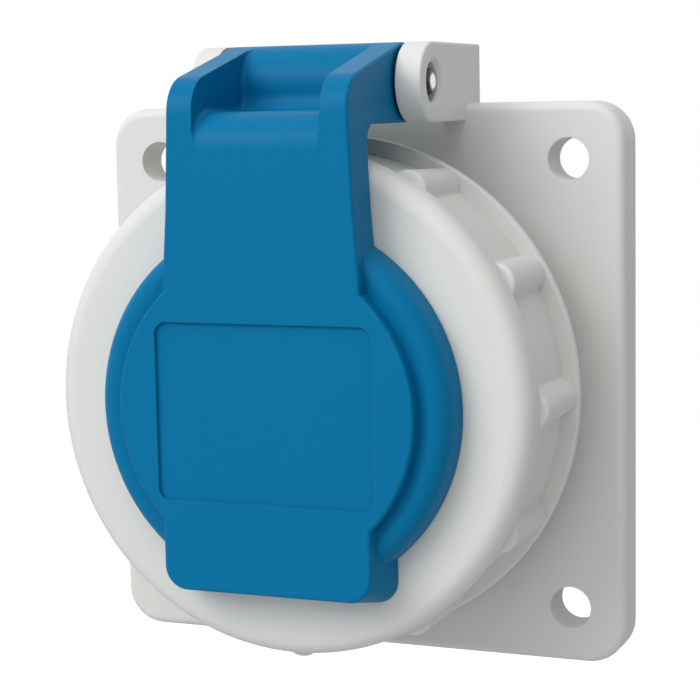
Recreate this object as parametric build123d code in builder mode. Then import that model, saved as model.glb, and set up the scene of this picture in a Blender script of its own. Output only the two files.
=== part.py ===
"""Flange-mounted earthed socket outlet with a sprung hinged lid and a captive bayonet ring.

Millimetres. X points right, Y into the mounting panel and Z up. The origin is on the socket's
axis, in the plane where the flange's back face meets the panel. A height is a distance in front
of that plane, along -Y, so what lies behind the panel has a negative height.
"""
import os
from math import asin, atan2, cos, hypot, sin, sqrt

from build123d import *

# The well for the plug sets the size of all that surrounds it
well_radius = 19.6
well_depth = 17.5

# One whole turn in degrees, how far joined shapes overlap, and how closely an edge is picked out
full_turn = 360.0
overlap = 1.0
edge_tolerance = 0.01

# Flange, collar and rear spigot of the housing
insert_wall = 2.6
insert_fit = 0.2
collar_wall = 3.2
collar_length = 20.55
collar_foot_step = 1.6
collar_foot_height = 3.0
flange_thick = 5.75
flange_corner = 5.25
flange_edge_round = 1.25
flange_under_pin = 2.75
hole_from_edge = 7.5
hole_radius = 2.8
spigot_length = 6.0
spigot_inset = 1.0
web_thick = 2.4
web_lip = 3.0
gasket_from_spigot = 2.6
gasket_width = 3.8
gasket_thick = 1.5

# Bayonet: three studs on the collar, three lugs in the ring
stud_count = 3
stud_first_angle = -90.0
stud_half_angle = 14.0
stud_height = 2.8
stud_thick = 3.5
stud_above_flange = 12.25
stop_angle = 5.0
stop_gap = 0.5
lug_half_angle = 14.0
lug_height = 2.3
lug_thick = 2.8
lug_gap = 0.3
lock_turn = 45.0

# Hinge
pin_above_flange = 12.35
barrel_above_ring = 1.55
pin_radius = 1.75
pin_fit = 0.05
pin_end_sunk = 0.15
pin_end_round = 0.9
counterbore_gap = 0.75
counterbore_depth = 1.8
counterbore_chamfer = 0.55
barrel_radius = 5.1
ear_radius = 5.1
ear_thick = 3.4
ear_edge_round = 0.35
arm_half_span = 12.1
arm_thick = 3.55
washer_thick = 0.3
washer_radius = 4.75
side_play = 0.1

# Lid
seal_gap = 0.25
seal_proud = 0.8
seal_sunk = 1.4
seal_outside_bore = 0.3
seal_width = 2.4
seal_edge_round = 0.3
seal_fit = 0.05
retainer_thick = 2.5
retainer_overhang = 0.2
lip_thick = 1.45
slide_gap = 0.25
lid_thick = 6.2
disc_inset = 1.52
disc_draft = 0.55
disc_edge_round = 2.2
shoulder_drop_outer = 1.4
shoulder_drop_inner = 1.95
plateau_step = 4.18
hub_step = 2.08
hub_gap = 0.35
hub_wall = 3.0
face_wall = 2.6
boss_radius = 3.0
boss_inset = 4.5
boss_count = 4
lid_screw_radius = 1.25
lid_screw_head = 2.6
lid_head_thick = 1.3
lid_screw_bite = 4.0
screw_fit = 0.15
strap_flare_shoulder = 1.1
strap_flare_mid = 0.5
strap_shoulder_drop = 7.08
strap_mid_drop = 7.5
arm_corner_round = 4.8
arm_heel_round = 2.8
arm_edge_round = 0.4
arm_front_rise = 0.25
pocket_floor_drop = 3.3
pocket_lip_round = 4.5
pocket_side_round = 0.6
pocket_root_round = 2.0
tab_half_front = 14.0
tab_inset = 1.03
tab_flare = 1.3
tab_corner_round = 3.0
label_width = 29.1
label_height = 22.6
label_corner = 1.5
label_depth = 0.45
label_drop = 0.3

# Bayonet ring
ring_gap = 6.75
stud_room = 1.1
grip_wall = 2.0
front_step = 1.0
front_band = 4.0
front_edge_round = 2.45
rim_step = 2.1
rim_thick = 1.5
rim_edge_round = 0.4
rib_count = 12
rib_sunk = 0.5
rib_rear_radius = 2.3
rib_taper = 1.3
rib_root_round = 0.5
rib_end_round = 0.5
cavity_shoulder = 2.5

# Socket insert
insert_rim_sunk = 0.2
insert_seat_gap = 0.05
floor_thick = 2.55
pin_spacing = 19.0
pin_hole_radius = 2.65
pin_hole_lead_in = 0.6
guide_width = 5.0
guide_height = 2.4
guide_rim_gap = 1.5
earth_pocket_width = 6.4
earth_pocket_depth = 1.3
earth_rim_gap = 1.2
insert_seal_width = 1.4
insert_seal_depth = 1.2
insert_seal_from_back = 0.6

# Contacts and terminals behind the insert
plug_pin_length = 19.0
pin_tip_room = 0.2
sleeve_bore = 2.45
sleeve_wall = 0.65
sleeve_slit = 0.7
sleeve_slit_length = 8.0
sleeve_length = 9.0
pillar_radius = 3.6
pillar_length = 21.3
pillar_fit = 0.1
wire_hole_radius = 1.7
wire_hole_depth = 4.3
wire_entry_radius = 2.4
contact_spring_width = 1.3
contact_spring_wall = 0.45
contact_spring_gap = 0.03
contact_spring_slot = 2.0
contact_spring_set_back = 1.2
earth_pillar_inset = 9.5
earth_pillar_radius = 3.0
strip_thick = 0.8
strip_width = 5.0
strip_gap = 0.05
strip_fit = 0.15
strip_foot_bend = 0.45
strip_bend = 1.2
strip_leg_inset = 1.0
tongue_root = 1.4
tongue_crest = 8.4
tongue_crest_inset = 2.6
tongue_end = 15.4
tongue_end_outset = 0.4
block_shoulder_thick = 2.55
block_inset = 1.9
block_top_cut = 5.5
block_bottom_cut = 2.0
block_depth = 19.0
screw_from_end = 2.9
terminal_screw_radius = 1.25
terminal_screw_fit = 0.05
terminal_head_radius = 2.3
terminal_head_thick = 1.6
terminal_head_rise = 1.6
terminal_screw_clear = 0.2
driver_channel_radius = 2.7
centre_screw_radius = 1.6
centre_screw_head = 3.0
centre_head_thick = 1.5
centre_screw_length = 12.0
slot_width = 0.6
slot_depth = 0.7

# Torsion spring inside the hinge barrel
spring_wire = 0.35
spring_radius = 2.7
spring_turns = 7
spring_pitch = 1.0
spring_end_gap = 0.2
spring_pocket_radius = 3.5
spring_pocket_depth = 9.0
spring_leg = 1.6
spring_leg_radius = 0.39
leg_hole_fit = 0.15

# Radii worked out from the well outwards, and the hinge and flange that go with them
insert_radius = well_radius + insert_wall
collar_bore = insert_radius + insert_fit
collar_radius = collar_bore + collar_wall
web_bore = collar_bore - web_lip
spigot_radius = collar_radius - spigot_inset
gasket_inner = spigot_radius + gasket_from_spigot
gasket_outer = gasket_inner + gasket_width
block_radius = collar_bore - block_inset
block_top = block_radius - block_top_cut
block_bottom = block_radius - block_bottom_cut
earth_pillar_drop = block_radius - earth_pillar_inset
seal_inner = collar_bore + seal_outside_bore
seal_outer = seal_inner + seal_width
retainer_radius = collar_radius + retainer_overhang
disc_radius = collar_radius - disc_inset
plateau_radius = disc_radius - plateau_step
hub_radius = disc_radius - hub_step
core_radius = hub_radius - hub_wall
boss_circle = core_radius - boss_inset
tab_end_front = disc_radius - tab_inset
cavity_radius = collar_radius + stud_height + stud_room
grip_radius = cavity_radius + grip_wall
front_radius = grip_radius + front_step
rim_radius = grip_radius + rim_step
rib_centre_radius = grip_radius - rib_sunk
under_barrel = rim_radius + barrel_above_ring
pin_height = under_barrel + barrel_radius
pocket_floor_height = pin_height - pocket_floor_drop
arm_front_top = pin_height + arm_front_rise
flange_half = pin_height - flange_under_pin
flange_side = 2 * flange_half
hole_pitch = flange_side - 2 * hole_from_edge
strap_half_shoulder = arm_half_span + strap_flare_shoulder
strap_half_mid = arm_half_span + strap_flare_mid
strap_shoulder_height = disc_radius - strap_shoulder_drop
strap_mid_height = front_radius - strap_mid_drop
arm_inner = arm_half_span - arm_thick
ear_inner = arm_half_span + 2 * side_play + washer_thick
ear_outer = ear_inner + ear_thick
spring_seat = arm_half_span - spring_pocket_depth
earth_pocket_radius = well_radius + earth_pocket_depth
strip_leg_place = well_radius - strip_leg_inset
tongue_crest_place = well_radius - tongue_crest_inset
tongue_end_place = well_radius + tongue_end_outset

# Heights worked out from the mounting face forward
collar_front = flange_thick + collar_length
insert_rim = collar_front - insert_rim_sunk
well_floor = insert_rim - well_depth
insert_back = well_floor - floor_thick
web_front = insert_back - insert_seat_gap
web_back = web_front - web_thick
seal_face = collar_front + seal_gap
retainer_back = seal_face + seal_proud
retainer_front = retainer_back + retainer_thick
lip_back = retainer_front + slide_gap
lip_front = lip_back + lip_thick
disc_back = lip_front + slide_gap
lid_front = disc_back + lid_thick
pin_y = -(flange_thick + pin_above_flange)
stud_back = flange_thick + stud_above_flange
ring_back = flange_thick + ring_gap
under_band = lip_front - front_band
block_front = insert_back - 2 * strip_gap - strip_thick
block_shoulder = web_back - strip_gap
block_body = block_shoulder - block_shoulder_thick
pillar_back = block_front - pillar_length
sleeve_back = block_front - sleeve_length
pin_stop = well_floor - plug_pin_length - pin_tip_room
screw_level = pillar_back + screw_from_end

# Angles between the bayonet's studs and to the first screw boss
stud_step = full_turn / stud_count
boss_first_angle = full_turn / boss_count / 2

os.makedirs("parts", exist_ok=True)


def sector_face(inner, outer, middle, half_angle):
    """Add an annular sector to the open sketch, its angles counted from +X towards +Z."""
    with BuildLine() as outline:
        far = CenterArc((0, 0), outer, middle - half_angle, 2 * half_angle)
        near = CenterArc((0, 0), inner, middle - half_angle, 2 * half_angle)
        Line(near @ 0, far @ 0)
        Line(near @ 1, far @ 1)
    make_face(outline.edges())


def front_disc(radius, low, high, mode=Mode.ADD, at=((0, 0),)):
    """Add or cut round columns that run between two heights."""
    with BuildSketch(Plane.XZ.offset(low)) as section:
        with Locations(*at):
            Circle(radius)
    extrude(section.sketch, amount=high - low, mode=mode)


def cross_cylinder(radius, start, end, mode=Mode.ADD, rise=0.0):
    """Add or cut a cylinder along X, on the hinge axis or a given rise above it."""
    with BuildSketch(Plane.YZ.offset(start)) as section:
        with Locations((pin_y, pin_height + rise)):
            Circle(radius)
    extrude(section.sketch, amount=end - start, mode=mode)


def upright_column(radius, place, height, low, high, mode=Mode.ADD):
    """Add or cut a round column along Z, at a place along X and a height before the panel."""
    with BuildSketch(Plane.XY.offset(low)) as section:
        with Locations((place, -height)):
            Circle(radius)
    extrude(section.sketch, amount=high - low, mode=mode)


# Hinge ear: a rounded block that stands on the panel side, softened at its outer edge
with BuildPart() as ear:
    with BuildSketch(Plane.YZ.offset(ear_inner)):
        with Locations((pin_y, pin_height)):
            Circle(ear_radius)
            Rectangle(-pin_y, 2 * ear_radius, align=(Align.MIN, Align.CENTER))
    extrude(amount=ear_thick)
    outer_face = ear.faces().sort_by(Axis.X)[-1]
    fillet(outer_face.edges().sort_by(Axis.Y)[:-1], ear_edge_round)

# Flange housing: flange, collar with bayonet studs, hinge ears and rear spigot in one moulding
with BuildPart() as flange_housing:
    with BuildSketch(Plane.XZ):
        RectangleRounded(flange_side, flange_side, flange_corner)
    extrude(amount=flange_thick)
    fillet(flange_housing.faces().sort_by(Axis.Y)[0].edges(), flange_edge_round)
    front_disc(collar_radius, 0, collar_front)
    front_disc(collar_radius + collar_foot_step, 0, flange_thick + collar_foot_height)
    front_disc(spigot_radius, -spigot_length, 0)
    add(ear.part)
    add(mirror(ear.part, about=Plane.YZ, mode=Mode.PRIVATE))
    for stud in range(stud_count):
        stud_end = stud_first_angle + stud * stud_step + stud_half_angle
        stop_middle = stud_end - 2 * stud_half_angle - stop_gap - stop_angle / 2
        stud_middle = (stud_end + stop_middle) / 2
        with BuildSketch(Plane.XZ.offset(stud_back)):
            sector_face(collar_radius - overlap, collar_radius + stud_height, stud_middle,
                        stud_end - stud_middle)
        extrude(amount=stud_thick)
        with BuildSketch(Plane.XZ.offset(stud_back - lug_gap - lug_thick)):
            sector_face(collar_radius - overlap, collar_radius + stud_height, stop_middle, stop_angle / 2)
        extrude(amount=lug_gap + lug_thick + stud_thick)
    front_disc(collar_bore, web_front, collar_front, Mode.SUBTRACT)
    front_disc(collar_bore, -spigot_length, web_back, Mode.SUBTRACT)
    front_disc(web_bore, web_back, web_front, Mode.SUBTRACT)
    with BuildSketch(Plane.XZ):
        Circle(gasket_outer)
        Circle(gasket_inner, mode=Mode.SUBTRACT)
    extrude(amount=gasket_thick, mode=Mode.SUBTRACT)
    with BuildSketch(Plane.XZ):
        with GridLocations(hole_pitch, hole_pitch, 2, 2):
            Circle(hole_radius)
    extrude(amount=flange_thick, mode=Mode.SUBTRACT)
    cross_cylinder(pin_radius + pin_fit, -ear_outer, ear_outer, Mode.SUBTRACT)
    counterbore = pin_radius + counterbore_gap
    cross_cylinder(counterbore, -ear_outer, counterbore_depth - ear_outer, Mode.SUBTRACT)
    cross_cylinder(counterbore, ear_outer - counterbore_depth, ear_outer, Mode.SUBTRACT)
    mouths = flange_housing.edges().filter_by(GeomType.CIRCLE).filter_by(
        lambda edge: abs(edge.radius - counterbore) < pin_fit
        and abs(edge.center().X) > ear_outer - pin_fit
    )
    chamfer(mouths, counterbore_chamfer)
    cross_cylinder(spring_leg_radius + leg_hole_fit, ear_inner, ear_inner + spring_leg + leg_hole_fit,
                   Mode.SUBTRACT, spring_radius)

# Flange gasket: a flat ring pressed into its groove in the flange's back
with BuildPart() as flange_gasket:
    with BuildSketch(Plane.XZ):
        Circle(gasket_outer - seal_fit)
        Circle(gasket_inner + seal_fit, mode=Mode.SUBTRACT)
    extrude(amount=gasket_thick - seal_fit)

# Hinge pin: a plain steel pin, its domed ends just below the ears' faces
pin_end = ear_outer - pin_end_sunk
with BuildPart() as hinge_pin:
    cross_cylinder(pin_radius, -pin_end, pin_end)
    fillet(hinge_pin.edges().filter_by(GeomType.CIRCLE), pin_end_round)

# Hinge washers: one thin washer between each arm and its ear
washer_face = ear_inner - side_play
with BuildPart() as hinge_washer_right:
    cross_cylinder(washer_radius, washer_face - washer_thick, washer_face)
    cross_cylinder(pin_radius + pin_fit, washer_face - washer_thick, washer_face, Mode.SUBTRACT)
    cross_cylinder(spring_leg_radius + leg_hole_fit, washer_face - washer_thick, washer_face,
                   Mode.SUBTRACT, spring_radius)
with BuildPart() as hinge_washer_left:
    cross_cylinder(washer_radius, -washer_face, washer_thick - washer_face)
    cross_cylinder(pin_radius + pin_fit, -washer_face, washer_thick - washer_face, Mode.SUBTRACT)

# Bayonet ring: flat front with a round edge, plain grip with ribs, rear rim, and lugs inside
rim_front = ring_back + rim_thick
with BuildPart() as bayonet_ring:
    with BuildSketch(Plane.XY) as ring_section:
        with BuildLine():
            Polyline(
                (hub_radius + hub_gap, -lip_back),
                (hub_radius + hub_gap, -lip_front),
                (front_radius, -lip_front),
                (front_radius, -under_band),
                (grip_radius, -under_band),
                (grip_radius, -rim_front),
                (rim_radius, -rim_front),
                (rim_radius, -ring_back),
                (cavity_radius, -ring_back),
                (cavity_radius, -under_band),
                (cavity_radius - cavity_shoulder, -lip_back),
                close=True,
            )
        make_face()
        front_edge = (front_radius, -lip_front)
        fillet(ring_section.vertices().sort_by_distance(front_edge)[0], front_edge_round)
        fillet(ring_section.vertices().sort_by(Axis.X)[-2:], rim_edge_round)
    revolve(axis=Axis.Y)
    # Ribs: round columns that swell towards the front, trimmed to the cavity behind them
    with BuildSketch(Plane.XZ.offset(ring_back)):
        with PolarLocations(rib_centre_radius, rib_count):
            Circle(rib_rear_radius)
    extrude(amount=under_band - ring_back, taper=-rib_taper)
    rib_roots = bayonet_ring.edges().filter_by(
        lambda edge: abs(edge.length - (under_band - rim_front)) < rib_root_round
        and abs(hypot(edge.center().X, edge.center().Z) - grip_radius) < rib_root_round
    )
    fillet(rib_roots, rib_root_round)
    rib_ends = bayonet_ring.edges().filter_by(
        lambda edge: abs(edge.center().Y + under_band) < edge_tolerance
        and hypot(edge.center().X, edge.center().Z) > front_radius + edge_tolerance
    )
    fillet(rib_ends, rib_end_round)
    front_disc(cavity_radius, ring_back, under_band, Mode.SUBTRACT)
    for stud in range(stud_count):
        middle = stud_first_angle + stud * stud_step + lock_turn
        with BuildSketch(Plane.XZ.offset(stud_back - lug_gap - lug_thick)):
            sector_face(cavity_radius - lug_height, cavity_radius + overlap, middle, lug_half_angle)
        extrude(amount=lug_thick)

# Room between the lid's arms: a round lip below, the barrel behind, soft corners at both sides
lip_place = pocket_floor_height - pocket_lip_round
arm_top = pin_height + 2 * barrel_radius
with BuildPart() as pocket:
    with BuildSketch(Plane.YZ) as pocket_view:
        with Locations((pin_y, lip_place)):
            Rectangle(lid_front, arm_top - lip_place, align=(Align.MAX, Align.MIN))
        with Locations((-lid_front + pocket_lip_round, lip_place)):
            Circle(pocket_lip_round, mode=Mode.SUBTRACT)
            Rectangle(lid_front, pocket_lip_round, align=(Align.MIN, Align.MIN), mode=Mode.SUBTRACT)
        with Locations((pin_y, pin_height)):
            Circle(barrel_radius, mode=Mode.SUBTRACT)
        floor_run = sqrt(barrel_radius ** 2 - (pin_height - pocket_floor_height) ** 2)
        barrel_root = (pin_y - floor_run, pocket_floor_height)
        fillet(pocket_view.vertices().sort_by_distance(barrel_root)[0], pocket_root_round)
    extrude(amount=arm_inner, both=True)
    side_edges = pocket.edges().filter_by(
        lambda edge: abs(edge.center().X) > arm_inner - pocket_side_round
        and lip_place < edge.center().Z < pin_height + barrel_radius
        and -lid_front < edge.center().Y < pin_y
    )
    fillet(side_edges, pocket_side_round)

# Lid: disc, hub, strap, tab, arms and hinge barrel in one moulding
shoulder_outer = lid_front - shoulder_drop_outer
shoulder_inner = lid_front - shoulder_drop_inner
arm_run = lid_front + pin_y
arm_rise = arm_front_top - pin_height
arm_slope = asin(barrel_radius / hypot(arm_run, arm_rise)) - atan2(arm_rise, arm_run)
with BuildPart() as lid:
    # Side view of the strap and arms
    with BuildSketch(Plane.YZ) as side_view:
        with BuildLine():
            Polyline(
                (-lid_front, 0),
                (-lid_front, arm_front_top),
                (pin_y - barrel_radius * sin(arm_slope), pin_height + barrel_radius * cos(arm_slope)),
                (pin_y, under_barrel),
                (-disc_back, under_barrel),
                (-disc_back, 0),
                close=True,
            )
        make_face()
        fillet(side_view.vertices().sort_by_distance((-lid_front, arm_front_top))[0], arm_corner_round)
        fillet(side_view.vertices().sort_by_distance((-disc_back, under_barrel))[0], arm_heel_round)
        with Locations((pin_y, pin_height)):
            Circle(barrel_radius)
    extrude(amount=strap_half_shoulder + arm_thick, both=True)
    # Front view of the strap and arms, kept where the two views meet
    with BuildSketch(Plane.XZ):
        with BuildLine():
            Polyline(
                (0, 0),
                (strap_half_shoulder, 0),
                (strap_half_shoulder, strap_shoulder_height),
                (strap_half_mid, strap_mid_height),
                (arm_half_span, pocket_floor_height),
                (arm_half_span, arm_top),
                (0, arm_top),
                close=True,
            )
        make_face()
        mirror(about=Plane.YZ)
    extrude(amount=lid_front + lid_thick, mode=Mode.INTERSECT)
    # Disc, plateau and hub
    with BuildSketch(Plane.XY) as disc_section:
        with BuildLine():
            Polyline(
                (0, -retainer_front),
                (hub_radius, -retainer_front),
                (hub_radius, -disc_back),
                (disc_radius, -disc_back),
                (disc_radius - disc_draft, -shoulder_outer),
                (plateau_radius, -shoulder_inner),
                (plateau_radius, -lid_front),
                (0, -lid_front),
                close=True,
            )
        make_face()
        shoulder_edge = (disc_radius - disc_draft, -shoulder_outer)
        fillet(disc_section.vertices().sort_by_distance(shoulder_edge)[0], disc_edge_round)
    revolve(axis=Axis.Y)
    # Tab: flares from the front face back to the ring
    with BuildSketch(Plane.XZ.offset(lid_front)):
        with Locations((0, -tab_end_front / 2)):
            RectangleRounded(2 * tab_half_front, tab_end_front, tab_corner_round)
    with BuildSketch(Plane.XZ.offset(disc_back)):
        with Locations((0, -(tab_end_front + tab_flare) / 2)):
            RectangleRounded(2 * (tab_half_front + tab_flare), tab_end_front + tab_flare,
                             tab_corner_round)
    loft()
    # One soft edge round the front face and on round the arms' corners, then the room between them
    face_edges = lid.edges().filter_by(
        lambda edge: abs(edge.center().Y + lid_front) < edge_tolerance
        and (edge.center().Z < 0 or abs(edge.center().X) > edge_tolerance)
    )
    arm_edges = lid.edges().filter_by(
        lambda edge: abs(abs(edge.center().X) - arm_half_span) < edge_tolerance
        and edge.center().Z > pocket_floor_height - arm_edge_round
        and edge_tolerance - lid_front < edge.center().Y < -disc_back - arm_edge_round
    )
    fillet(face_edges + arm_edges, arm_edge_round)
    add(pocket.part, mode=Mode.SUBTRACT)
    # Hollow behind the face, with four screw bosses left standing
    with BuildSketch(Plane.XZ.offset(retainer_front)):
        Circle(core_radius)
        with PolarLocations(boss_circle, boss_count, start_angle=boss_first_angle):
            Circle(boss_radius, mode=Mode.SUBTRACT)
    extrude(amount=lid_front - face_wall - retainer_front, mode=Mode.SUBTRACT)
    with BuildSketch(Plane.XZ.offset(retainer_front)):
        with PolarLocations(boss_circle, boss_count, start_angle=boss_first_angle):
            Circle(lid_screw_radius)
    extrude(amount=lid_screw_bite, mode=Mode.SUBTRACT)
    # Shallow label field in the face with a fine groove along its border, left bare
    with BuildSketch(Plane.XZ.offset(lid_front - label_depth)):
        with Locations((0, -label_drop)):
            RectangleRounded(label_width, label_height, label_corner)
    extrude(amount=label_depth, mode=Mode.SUBTRACT)
    # Pin bore, spring pocket and the hole for the spring's inner leg
    cross_cylinder(pin_radius + pin_fit, -arm_half_span, arm_half_span, Mode.SUBTRACT)
    cross_cylinder(spring_pocket_radius, spring_seat, arm_half_span, Mode.SUBTRACT)
    cross_cylinder(spring_leg_radius + leg_hole_fit, spring_seat - spring_leg - leg_hole_fit, spring_seat,
                   Mode.SUBTRACT, spring_radius)

# Lid retainer: round plate behind the ring's lip, with a groove for the seal
with BuildPart() as lid_retainer:
    front_disc(retainer_radius, retainer_back, retainer_front)
    with BuildSketch(Plane.XZ.offset(retainer_back)):
        Circle(seal_outer)
        Circle(seal_inner, mode=Mode.SUBTRACT)
    extrude(amount=seal_sunk, mode=Mode.SUBTRACT)
    with BuildSketch(Plane.XZ.offset(retainer_back)):
        with PolarLocations(boss_circle, boss_count, start_angle=boss_first_angle):
            Circle(lid_screw_radius + screw_fit)
    extrude(amount=retainer_thick, mode=Mode.SUBTRACT)
    with BuildSketch(Plane.XZ.offset(retainer_back)):
        with PolarLocations(boss_circle, boss_count, start_angle=boss_first_angle):
            Circle(lid_screw_head + screw_fit)
    extrude(amount=lid_head_thick, mode=Mode.SUBTRACT)

# Lid seal: square rubber ring that closes on the collar's front edge
with BuildPart() as lid_seal:
    with BuildSketch(Plane.XZ.offset(seal_face)):
        Circle(seal_outer - seal_fit)
        Circle(seal_inner + seal_fit, mode=Mode.SUBTRACT)
    extrude(amount=seal_proud + seal_sunk)
    fillet(lid_seal.faces().sort_by(Axis.Y)[-1].edges(), seal_edge_round)

# Lid screws: four pan-head screws, heads sunk in the retainer, driven from behind
with BuildPart() as lid_screws:
    with BuildSketch(Plane.XZ.offset(retainer_back)):
        with PolarLocations(boss_circle, boss_count, start_angle=boss_first_angle):
            Circle(lid_screw_head)
    extrude(amount=lid_head_thick)
    with BuildSketch(Plane.XZ.offset(retainer_back)):
        with PolarLocations(boss_circle, boss_count, start_angle=boss_first_angle):
            Circle(lid_screw_radius)
    extrude(amount=retainer_thick + lid_screw_bite - screw_fit)
    with BuildSketch(Plane.XZ.offset(retainer_back)):
        with PolarLocations(boss_circle, boss_count, start_angle=boss_first_angle):
            Rectangle(2 * lid_screw_head - slot_width, slot_width)
            Rectangle(slot_width, 2 * lid_screw_head - slot_width)
    extrude(amount=slot_depth, mode=Mode.SUBTRACT)

# Lid spring: torsion coil round the pin, one leg in the barrel and one in the right ear. The legs
# are a little thicker than the coil's wire, so that each takes in the end of the coil it meets.
coil_length = spring_turns * spring_pitch
coil_start = spring_seat + spring_wire + spring_end_gap
coil_end = coil_start + coil_length
with BuildPart() as coil_alone:
    with BuildLine():
        coil = Helix(spring_pitch, coil_length, spring_radius)
    with BuildSketch(Plane(origin=coil @ 0, z_dir=coil % 0)):
        Circle(spring_wire)
    sweep(path=coil, is_frenet=True)
coil_place = Plane(origin=(coil_start, pin_y, pin_height), x_dir=(0, 0, 1), z_dir=(1, 0, 0))
with BuildPart() as lid_spring:
    add(coil_alone.part.moved(coil_place.location))
    cross_cylinder(spring_leg_radius, spring_seat - spring_leg, coil_start + spring_leg_radius,
                   rise=spring_radius)
    cross_cylinder(spring_leg_radius, coil_end - spring_leg_radius, ear_inner + spring_leg,
                   rise=spring_radius)

# Socket insert: round well with pin holes, earth slots and side guides
with BuildPart() as socket_insert:
    front_disc(insert_radius, insert_back, insert_rim)
    front_disc(well_radius, well_floor, insert_rim, Mode.SUBTRACT)
    # Side guides for the plug's grooves
    with BuildSketch(Plane.XZ.offset(well_floor)) as guides:
        for side in (1, -1):
            with Locations((side * (well_radius - guide_height), 0)):
                Rectangle(guide_height + insert_radius - well_radius - insert_fit, guide_width,
                          align=(Align.MIN if side > 0 else Align.MAX, Align.CENTER))
    extrude(amount=well_depth - guide_rim_gap)
    # Earth pockets in the wall and slots through the floor
    for side in (1, -1):
        with BuildSketch(Plane.XZ.offset(well_floor)):
            with Locations((0, side * (well_radius - strip_thick))):
                Rectangle(earth_pocket_width, earth_pocket_radius - well_radius + strip_thick,
                          align=(Align.CENTER, Align.MIN if side > 0 else Align.MAX))
        extrude(amount=well_depth - earth_rim_gap, mode=Mode.SUBTRACT)
        with BuildSketch(Plane.XZ.offset(insert_back)):
            with Locations((0, side * strip_leg_place)):
                Rectangle(strip_width + 2 * strip_fit, strip_thick + 2 * strip_fit)
        extrude(amount=floor_thick, mode=Mode.SUBTRACT)
    # Pin holes with a lead-in, and the centre screw's seat
    with BuildSketch(Plane.XZ.offset(insert_back)):
        with GridLocations(pin_spacing, 0, 2, 1):
            Circle(pin_hole_radius)
        Circle(centre_screw_radius + screw_fit)
    extrude(amount=floor_thick, mode=Mode.SUBTRACT)
    front_disc(centre_screw_head + screw_fit, well_floor - centre_head_thick, well_floor, Mode.SUBTRACT)
    mouths = socket_insert.edges().filter_by(GeomType.CIRCLE).filter_by(
        lambda edge: abs(edge.radius - pin_hole_radius) < screw_fit
        and abs(edge.center().Y + well_floor) < screw_fit
    )
    chamfer(mouths, pin_hole_lead_in)
    # Groove for the insert's seal, beside the floor
    with BuildSketch(Plane.XY):
        with Locations((insert_radius - insert_seal_depth, -insert_back - insert_seal_from_back)):
            Rectangle(insert_seal_depth + insert_fit, insert_seal_width, align=(Align.MIN, Align.MAX))
    revolve(axis=Axis.Y, mode=Mode.SUBTRACT)

# Insert seal: rubber ring in the insert's groove, closing on the collar's bore
with BuildPart() as insert_seal:
    seal_low = insert_back + insert_seal_from_back + seal_fit
    seal_high = insert_back + insert_seal_from_back + insert_seal_width - seal_fit
    front_disc(collar_bore - seal_fit, seal_low, seal_high)
    front_disc(insert_radius - insert_seal_depth + seal_fit, seal_low, seal_high, Mode.SUBTRACT)

# Earth clip: one bent strip whose two tongues reach up into the well
bar_height = block_front + strip_gap + strip_thick / 2
with BuildPart() as earth_clip:
    with BuildSketch(Plane.YZ):
        with BuildLine() as strip_line:
            FilletPolyline(
                (-well_floor - tongue_end, -tongue_end_place),
                (-well_floor - tongue_crest, -tongue_crest_place),
                (-well_floor - tongue_root, -strip_leg_place),
                (-bar_height, -strip_leg_place),
                (-bar_height, strip_leg_place),
                (-well_floor - tongue_root, strip_leg_place),
                (-well_floor - tongue_crest, tongue_crest_place),
                (-well_floor - tongue_end, tongue_end_place),
                radius=(strip_bend, strip_bend, strip_foot_bend,
                        strip_foot_bend, strip_bend, strip_bend),
            )
        trace(strip_line.line, strip_thick)
    extrude(amount=strip_width / 2, both=True)
    front_disc(centre_screw_radius + screw_fit, block_front, insert_back, Mode.SUBTRACT)

# Terminal block: rear moulding that holds the contacts and closes on the housing's web
pin_spots = ((pin_spacing / 2, 0), (-pin_spacing / 2, 0))
earth_spots = ((0, -earth_pillar_drop),)
with BuildPart() as terminal_block:
    front_disc(web_bore - insert_fit, block_body, block_front)
    front_disc(collar_bore - insert_fit, block_body, block_shoulder)
    with BuildSketch(Plane.XZ.offset(-block_depth)):
        Circle(block_radius)
        with Locations((0, (block_top - block_bottom) / 2)):
            Rectangle(2 * block_radius, block_top + block_bottom, mode=Mode.INTERSECT)
    extrude(amount=block_depth + block_body)
    front_disc(pillar_radius + pillar_fit, pillar_back - pillar_fit, block_front, Mode.SUBTRACT, pin_spots)
    front_disc(earth_pillar_radius + pillar_fit, pillar_back - pillar_fit, block_front,
               Mode.SUBTRACT, earth_spots)
    front_disc(wire_entry_radius, -block_depth, pillar_back, Mode.SUBTRACT, pin_spots + earth_spots)
    for spot in pin_spots:
        upright_column(driver_channel_radius, spot[0], screw_level, 0, block_top, Mode.SUBTRACT)
    upright_column(driver_channel_radius, 0, screw_level, -block_bottom, -earth_pillar_drop, Mode.SUBTRACT)
    front_disc(centre_screw_radius, block_front - centre_screw_length, block_front, Mode.SUBTRACT)

# Live and neutral contacts: brass pillars with a slit sleeve in front and a wire hole behind
contacts = {}
for name, spot in (("live_contact", pin_spots[0]), ("neutral_contact", pin_spots[1])):
    with BuildPart() as contact:
        front_disc(pillar_radius, pillar_back, sleeve_back, at=(spot,))
        front_disc(sleeve_bore + sleeve_wall, sleeve_back, block_front, at=(spot,))
        front_disc(sleeve_bore, pin_stop, block_front, Mode.SUBTRACT, (spot,))
        front_disc(wire_hole_radius, pillar_back, pillar_back + wire_hole_depth, Mode.SUBTRACT, (spot,))
        with BuildSketch(Plane.XZ.offset(block_front - sleeve_slit_length)):
            with Locations(spot):
                Rectangle(sleeve_slit, 2 * pillar_radius)
        extrude(amount=sleeve_slit_length, mode=Mode.SUBTRACT)
        upright_column(terminal_screw_radius + terminal_screw_fit, spot[0], screw_level, 0,
                       pillar_radius, Mode.SUBTRACT)
    contacts[name] = contact

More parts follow.
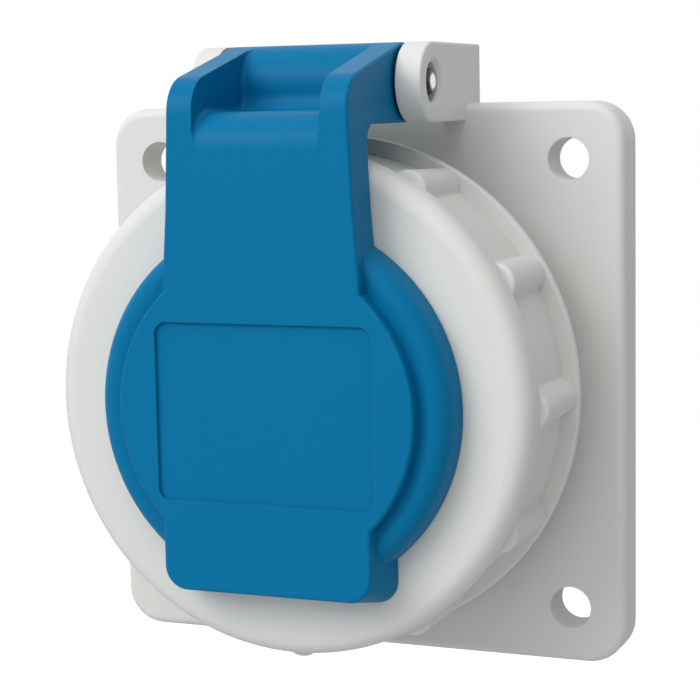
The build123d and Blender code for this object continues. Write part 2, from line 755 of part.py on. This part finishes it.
# Contact springs: steel rings that press the slit sleeves onto the plug's pins
contact_springs = {}
for name, spot in (("live_contact_spring", pin_spots[0]), ("neutral_contact_spring", pin_spots[1])):
    ring_high = block_front - contact_spring_set_back
    ring_low = ring_high - contact_spring_width
    ring_inner = sleeve_bore + sleeve_wall + contact_spring_gap
    with BuildPart() as contact_spring:
        front_disc(ring_inner + contact_spring_wall, ring_low, ring_high, at=(spot,))
        front_disc(ring_inner, ring_low, ring_high, Mode.SUBTRACT, (spot,))
        with BuildSketch(Plane.XZ.offset(ring_low)):
            with Locations((spot[0], -ring_inner)):
                Rectangle(contact_spring_slot, ring_inner)
        extrude(amount=contact_spring_width, mode=Mode.SUBTRACT)
    contact_springs[name] = contact_spring

# Earth terminal: a brass pillar behind the clip's bar
with BuildPart() as earth_terminal:
    front_disc(earth_pillar_radius, pillar_back, block_front, at=earth_spots)
    front_disc(wire_hole_radius, pillar_back, pillar_back + wire_hole_depth, Mode.SUBTRACT, earth_spots)
    upright_column(terminal_screw_radius + terminal_screw_fit, 0, screw_level,
                   -earth_pillar_drop - earth_pillar_radius, -earth_pillar_drop, Mode.SUBTRACT)

# Terminal screws: slotted, entering from above for live and neutral, from below for earth
terminal_screws = {}
screw_tip = wire_hole_radius + terminal_screw_clear
for name, place, base, way, pillar in (
    ("live_terminal_screw", pin_spots[0][0], 0, 1, pillar_radius),
    ("neutral_terminal_screw", pin_spots[1][0], 0, 1, pillar_radius),
    ("earth_terminal_screw", 0, -earth_pillar_drop, -1, earth_pillar_radius),
):
    head_under = base + way * (pillar + terminal_head_rise)
    head_top = head_under + way * terminal_head_thick
    with BuildPart() as terminal_screw:
        upright_column(terminal_screw_radius, place, screw_level, base + way * screw_tip, head_top)
        upright_column(terminal_head_radius, place, screw_level, head_under, head_top)
        with BuildSketch(Plane.XY.offset(head_top)):
            with Locations((place, -screw_level)):
                Rectangle(2 * terminal_head_radius, slot_width)
        extrude(amount=-way * slot_depth, mode=Mode.SUBTRACT)
    terminal_screws[name] = terminal_screw

# Centre screw: draws the insert and the terminal block together on the housing's web
with BuildPart() as centre_screw:
    front_disc(centre_screw_head, well_floor - centre_head_thick, well_floor)
    front_disc(centre_screw_radius, block_front - centre_screw_length + screw_fit, well_floor)
    with BuildSketch(Plane.XZ.offset(well_floor - slot_depth)):
        Rectangle(2 * centre_screw_head - slot_width, slot_width)
        Rectangle(slot_width, 2 * centre_screw_head - slot_width)
    extrude(amount=slot_depth, mode=Mode.SUBTRACT)

# Every piece goes to a file of its own, named and labelled alike
pieces = {
    "flange_housing": flange_housing,
    "flange_gasket": flange_gasket,
    "hinge_pin": hinge_pin,
    "hinge_washer_right": hinge_washer_right,
    "hinge_washer_left": hinge_washer_left,
    "lid": lid,
    "lid_retainer": lid_retainer,
    "lid_seal": lid_seal,
    "lid_screws": lid_screws,
    "lid_spring": lid_spring,
    "bayonet_ring": bayonet_ring,
    "socket_insert": socket_insert,
    "insert_seal": insert_seal,
    "earth_clip": earth_clip,
    "terminal_block": terminal_block,
    "earth_terminal": earth_terminal,
    "centre_screw": centre_screw,
    **contacts,
    **contact_springs,
    **terminal_screws,
}
for name, piece in pieces.items():
    piece.part.label = name
    export_step(piece.part, f"parts/{name}.step")
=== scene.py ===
# %% [markdown]
# # A panel socket outlet with a hinged lid, dressed for rendering
#
# The real object is a moulded plastic outlet: a square grey flange, a blue lid on a steel pin, and a
# grey bayonet ring that locks the lid. Its solids were made in CAD, so the first step loads them as
# a fixed frame. The scene then only adds what CAD cannot say: surfaces, light and a camera, and a
# copy of one spring.

# %% Load the imported model
from math import cos, radians, sin

import bpy
from mathutils import Matrix, Vector


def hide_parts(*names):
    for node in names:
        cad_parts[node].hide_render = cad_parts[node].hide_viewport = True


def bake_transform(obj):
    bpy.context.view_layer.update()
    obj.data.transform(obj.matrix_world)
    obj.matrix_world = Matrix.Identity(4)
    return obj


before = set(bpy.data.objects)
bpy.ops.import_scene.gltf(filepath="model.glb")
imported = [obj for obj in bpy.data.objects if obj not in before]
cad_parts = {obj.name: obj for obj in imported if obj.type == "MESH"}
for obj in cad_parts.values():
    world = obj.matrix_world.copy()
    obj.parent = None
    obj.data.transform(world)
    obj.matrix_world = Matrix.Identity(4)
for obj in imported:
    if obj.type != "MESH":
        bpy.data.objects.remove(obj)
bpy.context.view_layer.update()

# %% [markdown]
# ## Camera
#
# The photograph was taken from the right and a little above, with a long lens. A camera could be
# placed by eye, but the flange is a known square with four holes at a known pitch, so its corners
# and the ring's circles give the camera's place exactly. The angles below come from that fit. The
# focal length is stated in pixels of the 700 pixel frame, and Blender wants it in millimetres of
# sensor, so it is scaled by the sensor's width.

# %% Camera from the fitted place and angles
FRAME_PIXELS = 700
FOCAL_PIXELS = 1967.336
SENSOR_MM = 36.0
NEAREST_SEEN = 0.01
CAMERA_PLACE = Vector((0.101535, -0.255212, 0.037571))
YAW, PITCH, ROLL = radians(22.411), radians(7.111), radians(-1.081)


def camera_axes(yaw, pitch, roll):
    """Right, up and forward of a camera that looks along +Y before it is turned."""
    level = Vector((-sin(yaw), cos(yaw), 0))
    side = Vector((cos(yaw), sin(yaw), 0))
    forward = level * cos(pitch) - Vector((0, 0, sin(pitch)))
    lift = Vector((0, 0, cos(pitch))) + level * sin(pitch)
    right = side * cos(roll) + lift * sin(roll)
    up = lift * cos(roll) - side * sin(roll)
    return right, up, forward


right, up, forward = camera_axes(YAW, PITCH, ROLL)
lens = bpy.data.cameras.new("studio_camera")
lens.sensor_fit = "HORIZONTAL"
lens.sensor_width = SENSOR_MM
lens.lens = FOCAL_PIXELS * SENSOR_MM / FRAME_PIXELS
lens.clip_start = NEAREST_SEEN
camera = bpy.data.objects.new("studio_camera", lens)
bpy.context.scene.collection.objects.link(camera)
turn = Matrix((right, up, -forward)).transposed().to_4x4()
camera.matrix_world = Matrix.Translation(CAMERA_PLACE) @ turn
bpy.context.scene.camera = camera
print("lens in mm:", round(lens.lens, 2))

# %% [markdown]
# ## Light and background
#
# The photograph is a product shot: soft light from the front left and from above, and a pure white
# background. The white could come from stronger lamps, but they would wash the object out. So it
# comes from the world, and only for rays that leave the camera, a reflection or clear material. All
# other rays meet a calmer grey, which fills the shadows.

# %% World: white to the eye, a calm grey to the object
WHITE = (1.0, 1.0, 1.0, 1.0)
WORLD_FILL = 0.365
PURE_WHITE = 1.0


def background(tree, strength):
    """A plain white background of one strength."""
    node = tree.nodes.new("ShaderNodeBackground")
    node.inputs["Color"].default_value = WHITE
    node.inputs["Strength"].default_value = strength
    return node


bpy.context.scene.view_settings.view_transform = "Standard"
world = bpy.data.worlds.new("studio_world")
bpy.context.scene.world = world
world.use_nodes = True
sky = world.node_tree
sky.nodes.clear()
sky_out = sky.nodes.new("ShaderNodeOutputWorld")
sky_mix = sky.nodes.new("ShaderNodeMixShader")
sky_path = sky.nodes.new("ShaderNodeLightPath")
sky_seen = sky_path.outputs["Is Camera Ray"]
for ray in ("Is Glossy Ray", "Is Transmission Ray"):
    either = sky.nodes.new("ShaderNodeMath")
    either.operation = "MAXIMUM"
    sky.links.new(sky_seen, either.inputs[0])
    sky.links.new(sky_path.outputs[ray], either.inputs[1])
    sky_seen = either.outputs[0]
sky.links.new(sky_seen, sky_mix.inputs["Fac"])
sky.links.new(background(sky, WORLD_FILL).outputs[0], sky_mix.inputs[1])
sky.links.new(background(sky, PURE_WHITE).outputs[0], sky_mix.inputs[2])
sky.links.new(sky_mix.outputs[0], sky_out.inputs["Surface"])
print("world fill:", WORLD_FILL)

# %% [markdown]
# ## Lamps
#
# A small lamp gives hard shadows, and the photograph has none. Area lamps wider than the object give
# soft shading instead. The key lamp stands at the front left, a weak one fills from the front, and
# one above lights the lid's top and the ears.

# %% Three soft lamps
AIM = Vector((0.0, -0.015, 0.0))


def soft_lamp(name, place, size, watts):
    """A square area lamp that faces the object."""
    data = bpy.data.lights.new(name, "AREA")
    data.size = size
    data.energy = watts
    lamp = bpy.data.objects.new(name, data)
    bpy.context.scene.collection.objects.link(lamp)
    lamp.location = place
    lamp.rotation_euler = (AIM - Vector(place)).to_track_quat("-Z", "Y").to_euler()
    print(name, "at", place, "watts", watts)


soft_lamp("key_lamp", place=(-0.45, -0.75, 0.55), size=0.6, watts=5.3)
soft_lamp("front_lamp", place=(0.15, -0.85, 0.55), size=0.6, watts=1.4)
soft_lamp("top_lamp", place=(0.05, -0.15, 0.9), size=0.7, watts=2.3)

# %% [markdown]
# ## Floor
#
# A panel outlet hangs on its flange, so nothing of it stands on the floor. A pale floor a little
# below it still grounds the picture and catches a soft shadow. To the camera the paper glows a
# little, so that it reads as white, and away from the object it fades to the same plain white as
# the world, so that no edge shows. Every other ray meets plain paper.

# %% Colours as they look on screen
SCREEN_LEVELS = 255


def srgb(red, green, blue):
    """A colour as it looks on screen, 0 to 255 each, turned into the linear values Blender uses."""
    linear = []
    for value in (red, green, blue):
        share = value / SCREEN_LEVELS
        linear.append(share / 12.92 if share <= 0.04045 else ((share + 0.055) / 1.055) ** 2.4)
    return (*linear, 1.0)


print("middle grey is", round(srgb(128, 128, 128)[0], 3))

# %% Floor sheet below the flange
FLOOR_DROP = 0.075
FLOOR_REACH = 3.0

floor_mesh = bpy.data.meshes.new("studio_floor")
corners = [
    (-FLOOR_REACH, -FLOOR_REACH, -FLOOR_DROP),
    (FLOOR_REACH, -FLOOR_REACH, -FLOOR_DROP),
    (FLOOR_REACH, FLOOR_REACH, -FLOOR_DROP),
    (-FLOOR_REACH, FLOOR_REACH, -FLOOR_DROP),
]
floor_mesh.from_pydata(corners, [], [(0, 1, 2, 3)])
floor = bpy.data.objects.new("studio_floor", floor_mesh)
bpy.context.scene.collection.objects.link(floor)
print("floor at z =", -FLOOR_DROP)

# %% Paper for the floor
PAPER_TINT = srgb(205, 205, 205)
PAPER_ROUGHNESS = 0.9
PAPER_GLOW = 0.7
FADE_FROM, FADE_TO = 0.12, 0.40


def glow(tree, strength):
    """Light that leaves a surface by itself."""
    node = tree.nodes.new("ShaderNodeEmission")
    node.inputs["Strength"].default_value = strength
    return node.outputs[0]


def either_shader(tree, share, first, second):
    """The first shader where share is 0, the second where it is 1."""
    node = tree.nodes.new("ShaderNodeMixShader")
    tree.links.new(share, node.inputs["Fac"])
    tree.links.new(first, node.inputs[1])
    tree.links.new(second, node.inputs[2])
    return node.outputs[0]


floor_paint = bpy.data.materials.new("floor_white")
floor_paint.use_nodes = True
paper = floor_paint.node_tree
paper_face = paper.nodes["Principled BSDF"]
paper_face.inputs["Base Color"].default_value = PAPER_TINT
paper_face.inputs["Roughness"].default_value = PAPER_ROUGHNESS
paper_lit = paper.nodes.new("ShaderNodeAddShader")
paper.links.new(paper_face.outputs[0], paper_lit.inputs[0])
paper.links.new(glow(paper, PAPER_GLOW), paper_lit.inputs[1])
paper_place = paper.nodes.new("ShaderNodeTexCoord")
paper_reach = paper.nodes.new("ShaderNodeVectorMath")
paper_reach.operation = "LENGTH"
paper_fade = paper.nodes.new("ShaderNodeMapRange")
paper_fade.interpolation_type = "SMOOTHSTEP"
paper_fade.inputs["From Min"].default_value = FADE_FROM
paper_fade.inputs["From Max"].default_value = FADE_TO
paper.links.new(paper_place.outputs["Object"], paper_reach.inputs[0])
paper.links.new(paper_reach.outputs["Value"], paper_fade.inputs["Value"])
paper_seen = either_shader(paper, paper_fade.outputs["Result"], paper_lit.outputs[0],
                           glow(paper, PURE_WHITE))
paper_path = paper.nodes.new("ShaderNodeLightPath")
paper_all = either_shader(paper, paper_path.outputs["Is Camera Ray"], paper_face.outputs[0],
                          paper_seen)
paper.links.new(paper_all, paper.nodes["Material Output"].inputs["Surface"])
floor_mesh.materials.append(floor_paint)
print("paper fades to white from", FADE_FROM, "to", FADE_TO, "m")

# %% [markdown]
# ## Tools that every material shares
#
# Each material below is a small tree of nodes. The same few branches come back in all of them: a
# noise, a colour that drifts between two close tints, a roughness that varies, and a fine bump. Each
# branch could be built again for each material. One helper per branch is shorter, and the materials
# then read as a list of what the surface is like. Sizes are in metres, as all of the scene is.

# %% Branches of a material
COLOUR_A, COLOUR_B, COLOUR_OUT = 6, 7, 2


def new_surface(name):
    """An empty material: itself, its tree, its shader and the coordinates of the piece."""
    material = bpy.data.materials.new(name)
    material.use_nodes = True
    tree = material.node_tree
    place = tree.nodes.new("ShaderNodeTexCoord").outputs["Object"]
    return material, tree, tree.nodes["Principled BSDF"], place


def noise(tree, place, scale, detail=2.0, roughness=0.5):
    """A noise with this many lumps per metre."""
    node = tree.nodes.new("ShaderNodeTexNoise")
    node.inputs["Scale"].default_value = scale
    node.inputs["Detail"].default_value = detail
    node.inputs["Roughness"].default_value = roughness
    tree.links.new(place, node.inputs["Vector"])
    return node.outputs["Fac"]


def drift_colour(tree, shader, share, first, second):
    """Let the colour drift between two close tints."""
    node = tree.nodes.new("ShaderNodeMix")
    node.data_type = "RGBA"
    node.inputs[COLOUR_A].default_value = first
    node.inputs[COLOUR_B].default_value = second
    tree.links.new(share, node.inputs["Factor"])
    tree.links.new(node.outputs[COLOUR_OUT], shader.inputs["Base Color"])


def vary_roughness(tree, shader, share, low, high):
    """Let the roughness vary between two values."""
    node = tree.nodes.new("ShaderNodeMapRange")
    node.inputs["To Min"].default_value = low
    node.inputs["To Max"].default_value = high
    tree.links.new(share, node.inputs["Value"])
    tree.links.new(node.outputs["Result"], shader.inputs["Roughness"])


def fine_bump(tree, shader, height, depth):
    """Raise and sink the surface's shading by at most this depth. Gives the node back."""
    node = tree.nodes.new("ShaderNodeBump")
    node.inputs["Distance"].default_value = depth
    tree.links.new(height, node.inputs["Height"])
    tree.links.new(node.outputs["Normal"], shader.inputs["Normal"])
    return node


print("material branches are ready")

# %% [markdown]
# ## Moulded plastic
#
# The lid, ring and housing are injection moulded. The mould is spark eroded, which leaves a very
# fine even grain, and the surface is satin: broad soft highlights, no mirror. A single colour would
# look like paint on glass. So the colour drifts very slightly, the roughness varies in faint
# patches, and a noise at the grain's real size drives a bump. The Bevel node rounds the shading at
# the edges, because a moulded edge is never quite sharp. The lid has less shine than the grey parts,
# as its sides would otherwise turn pale in the white surroundings.

# %% Plastic with a moulded grain
DRIFT_LUMPS = 45.0
HAZE_LUMPS = 160.0
HAZE_DETAIL = 3.0
HAZE_SWING = 0.05
GRAIN_SIZE = 0.00022
GRAIN_DETAIL = 4.0
GRAIN_ROUGHNESS = 0.6
GRAIN_DEPTH = 0.000006
EDGE_ROUND = 0.0002
EDGE_SAMPLES = 6


def moulded_plastic(name, colour, shade, roughness, shine=0.3):
    """Satin plastic. colour and shade are two close tints."""
    material, tree, shader, place = new_surface(name)
    shader.inputs["Specular IOR Level"].default_value = shine
    drift_colour(tree, shader, noise(tree, place, DRIFT_LUMPS), colour, shade)
    haze = noise(tree, place, HAZE_LUMPS, HAZE_DETAIL)
    vary_roughness(tree, shader, haze, roughness - HAZE_SWING, roughness + HAZE_SWING)
    grain = noise(tree, place, 1.0 / GRAIN_SIZE, GRAIN_DETAIL, GRAIN_ROUGHNESS)
    bump = fine_bump(tree, shader, grain, GRAIN_DEPTH)
    soften = tree.nodes.new("ShaderNodeBevel")
    soften.samples = EDGE_SAMPLES
    soften.inputs["Radius"].default_value = EDGE_ROUND
    tree.links.new(soften.outputs["Normal"], bump.inputs["Normal"])
    print("plastic:", name)
    return material


lid_blue = moulded_plastic("lid_blue", srgb(2, 112, 160), srgb(4, 115, 163), 0.4, shine=0.07)
retainer_blue = moulded_plastic("retainer_blue", srgb(2, 96, 138), srgb(4, 99, 141), 0.5, shine=0.09)
shell_grey = moulded_plastic("shell_grey", srgb(220, 222, 218), srgb(223, 225, 221), 0.45)
insert_grey = moulded_plastic("insert_grey", srgb(196, 199, 197), srgb(200, 203, 201), 0.5)
block_white = moulded_plastic("block_white", srgb(226, 225, 218), srgb(230, 229, 222), 0.55)
washer_black = moulded_plastic("washer_black", srgb(22, 23, 25), srgb(26, 27, 29), 0.5)

# %% [markdown]
# ## Rubber
#
# The seals and the flange gasket are extruded or pressed rubber: very dark, dull, with a soft bloom.
# A low shine alone would look like black plastic. A high roughness with a slow noise gives the
# bloom, and a fine bump keeps it from looking wet.

# %% Rubber for the seals and the gasket
BLOOM_LUMPS = 220.0
PORE_LUMPS = 5000.0
PORE_DEPTH = 0.00001
RUBBER_SHINE = 0.3
RUBBER_ROUGHNESS = (0.7, 0.88)


def soft_rubber(name, colour, bloom):
    """Dull rubber with a pale bloom in patches."""
    material, tree, shader, place = new_surface(name)
    shader.inputs["Specular IOR Level"].default_value = RUBBER_SHINE
    patches = noise(tree, place, BLOOM_LUMPS)
    drift_colour(tree, shader, patches, colour, bloom)
    vary_roughness(tree, shader, patches, *RUBBER_ROUGHNESS)
    fine_bump(tree, shader, noise(tree, place, PORE_LUMPS), PORE_DEPTH)
    print("rubber:", name)
    return material


seal_rubber = soft_rubber("seal_rubber", srgb(34, 35, 36), srgb(48, 49, 50))

# %% [markdown]
# ## Metals
#
# The pin is turned steel, the screws are zinc plated, the contacts are brass and the earth clip is a
# nickel-plated strip. Each could have a recipe of its own, but all are the same kind of surface: full
# metallic, a base colour that is the metal's reflection, and a noise stretched along one direction
# for the marks that turning or rolling leaves. So one recipe serves, with other colours and marks.

# %% Metal with fine tool marks
STAIN_LUMPS = 300.0
MARK_DETAIL = 3.0
MARK_SWING = 0.06
MARK_DEPTH = 0.000003


def tooled_metal(name, colour, stain, roughness, marks=(900.0, 900.0, 900.0)):
    """Metal with tool marks. marks is how many there are along X, Y and Z, per metre."""
    material, tree, shader, place = new_surface(name)
    shader.inputs["Metallic"].default_value = 1.0
    drift_colour(tree, shader, noise(tree, place, STAIN_LUMPS), colour, stain)
    stretch = tree.nodes.new("ShaderNodeMapping")
    stretch.inputs["Scale"].default_value = marks
    tree.links.new(place, stretch.inputs["Vector"])
    lines = noise(tree, stretch.outputs["Vector"], 1.0, MARK_DETAIL)
    vary_roughness(tree, shader, lines, roughness - MARK_SWING, roughness + MARK_SWING)
    fine_bump(tree, shader, lines, MARK_DEPTH)
    print("metal:", name)
    return material


pin_steel = tooled_metal("pin_steel", srgb(236, 232, 226), srgb(222, 217, 210), 0.16,
                         marks=(400.0, 5000.0, 5000.0))
screw_zinc = tooled_metal("screw_zinc", srgb(200, 203, 206), srgb(178, 182, 186), 0.32)
spring_steel = tooled_metal("spring_steel", srgb(168, 168, 168), srgb(140, 140, 142), 0.3)
contact_brass = tooled_metal("contact_brass", srgb(222, 186, 104), srgb(204, 164, 84), 0.28,
                             marks=(900.0, 4000.0, 900.0))
strip_nickel = tooled_metal("strip_nickel", srgb(206, 202, 190), srgb(190, 185, 172), 0.26,
                            marks=(4000.0, 600.0, 600.0))

# %% [markdown]
# ## Painted shade on the pin's end
#
# The pin's ends are turned to a dome. Round the edge the colour is darkened to a dark ring, which is
# painted shade: it stands for the shade in the counterbore round the pin. It could be a second
# material on some faces, but the ring lies at a known distance from the hinge axis, so the shader
# measures that distance.

# %% Painted shade: darken the pin towards its edge
HINGE_AXIS = (0.0, -0.0181, 0.04025)
ACROSS_THE_AXIS = (0.0, 1.0, 1.0)
BRIGHT_TO, DARK_FROM = 0.00085, 0.00125


def paint_edge_shade(material, dark):
    """Paint a dark ring of shade where a point is far from the hinge axis."""
    tree = material.node_tree
    shader = tree.nodes["Principled BSDF"]
    bright = shader.inputs["Base Color"].links[0].from_socket
    place = tree.nodes.new("ShaderNodeTexCoord")
    offset = tree.nodes.new("ShaderNodeVectorMath")
    offset.operation = "SUBTRACT"
    offset.inputs[1].default_value = HINGE_AXIS
    across = tree.nodes.new("ShaderNodeVectorMath")
    across.operation = "MULTIPLY"
    across.inputs[1].default_value = ACROSS_THE_AXIS
    radius = tree.nodes.new("ShaderNodeVectorMath")
    radius.operation = "LENGTH"
    # Share of painted shade: 0 near the hinge axis, 1 from DARK_FROM outwards.
    painted_shade_share = tree.nodes.new("ShaderNodeMapRange")
    painted_shade_share.inputs["From Min"].default_value = BRIGHT_TO
    painted_shade_share.inputs["From Max"].default_value = DARK_FROM
    tree.links.new(place.outputs["Object"], offset.inputs[0])
    tree.links.new(offset.outputs["Vector"], across.inputs[0])
    tree.links.new(across.outputs["Vector"], radius.inputs[0])
    tree.links.new(radius.outputs["Value"], painted_shade_share.inputs["Value"])
    drift_colour(tree, shader, painted_shade_share.outputs["Result"], dark, dark)
    blend = shader.inputs["Base Color"].links[0].from_node
    tree.links.new(bright, blend.inputs[COLOUR_A])
    print("dark edge on", material.name)


# Painted shade: the pin's end darkens towards its edge, for the shade in its counterbore.
paint_edge_shade(pin_steel, srgb(74, 66, 62))

# %% [markdown]
# ## Finish for each piece
#
# Each CAD node already has one material slot. Giving that slot a finished material keeps the shape
# and the place exactly as made. The list below is the whole dress plan, finish by finish.

# %% Put the finishes on
pieces_in = (
    (shell_grey, ("flange_housing", "bayonet_ring")),
    (lid_blue, ("lid",)),
    (retainer_blue, ("lid_retainer",)),
    (insert_grey, ("socket_insert",)),
    (block_white, ("terminal_block",)),
    (washer_black, ("hinge_washer_right", "hinge_washer_left")),
    (seal_rubber, ("lid_seal", "insert_seal", "flange_gasket")),
    (pin_steel, ("hinge_pin",)),
    (spring_steel, ("lid_spring", "live_contact_spring", "neutral_contact_spring")),
    (screw_zinc, ("lid_screws", "centre_screw", "live_terminal_screw", "neutral_terminal_screw",
                  "earth_terminal_screw")),
    (contact_brass, ("live_contact", "neutral_contact", "earth_terminal")),
    (strip_nickel, ("earth_clip",)),
)
dressed = 0
for finish, nodes in pieces_in:
    for node in nodes:
        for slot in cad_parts[node].material_slots:
            slot.material = finish
        dressed += 1
print("dressed:", dressed, "of", len(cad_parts))

# %% [markdown]
# ## A copy of the spring
#
# The torsion spring has one leg in the lid's barrel and the other in the right ear. When the lid
# opens, the first leg turns and the second stays, so the coil winds up. A rigid spring would drag a
# leg through the ear. The solid cannot bend, so a copy of its mesh takes its place, with its
# placement baked into its points.


def twist_spring(node, name):
    """Hide the solid spring and put a copy of its mesh in its place."""
    copy = bpy.data.objects.new(name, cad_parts[node].data.copy())
    bpy.context.scene.collection.objects.link(copy)
    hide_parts(node)
    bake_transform(copy)
    print("twisting copy of", node, "with", len(copy.data.vertices), "points")


twist_spring("lid_spring", "lid_spring_coil")
